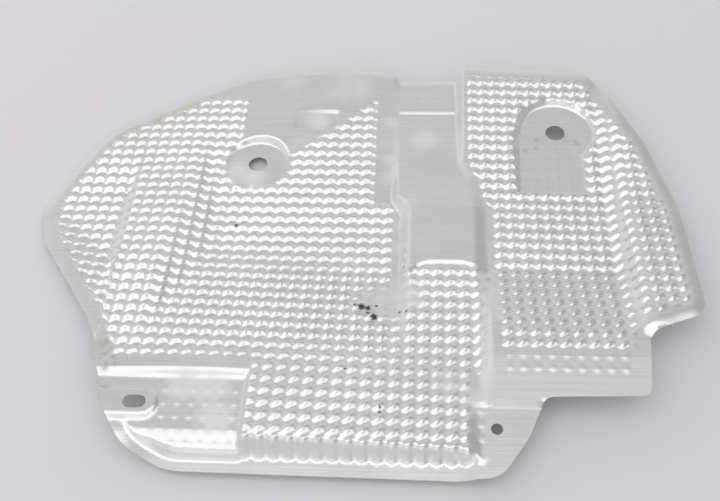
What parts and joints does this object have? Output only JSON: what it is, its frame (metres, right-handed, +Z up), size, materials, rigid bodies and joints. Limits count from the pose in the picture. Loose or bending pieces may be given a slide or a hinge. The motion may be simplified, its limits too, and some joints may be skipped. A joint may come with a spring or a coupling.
{
  "type": "exhaust heat shield",
  "caption": "Pressed and embossed aluminium heat shield: a wide sheet with trays, a raised causeway and rolled edges, with bolt holes and a slot for fixing.",
  "frame": {"origin": "below the middle of the sheet's box, on the surface that its two low trays rest on", "axes": "+X to the sheet's right, along its longer side; +Y to the rear, where the channel leaves; +Z up, on the bumped side"},
  "size_m": [0.4178, 0.3166, 0.0246],
  "materials": {
    "shield_sheet": "embossed mill finish, dull, with stains and scuffs"
  },
  "bodies": {
    "root": {"shield_sheet": "shield_sheet"}
  },
  "joints": []
}
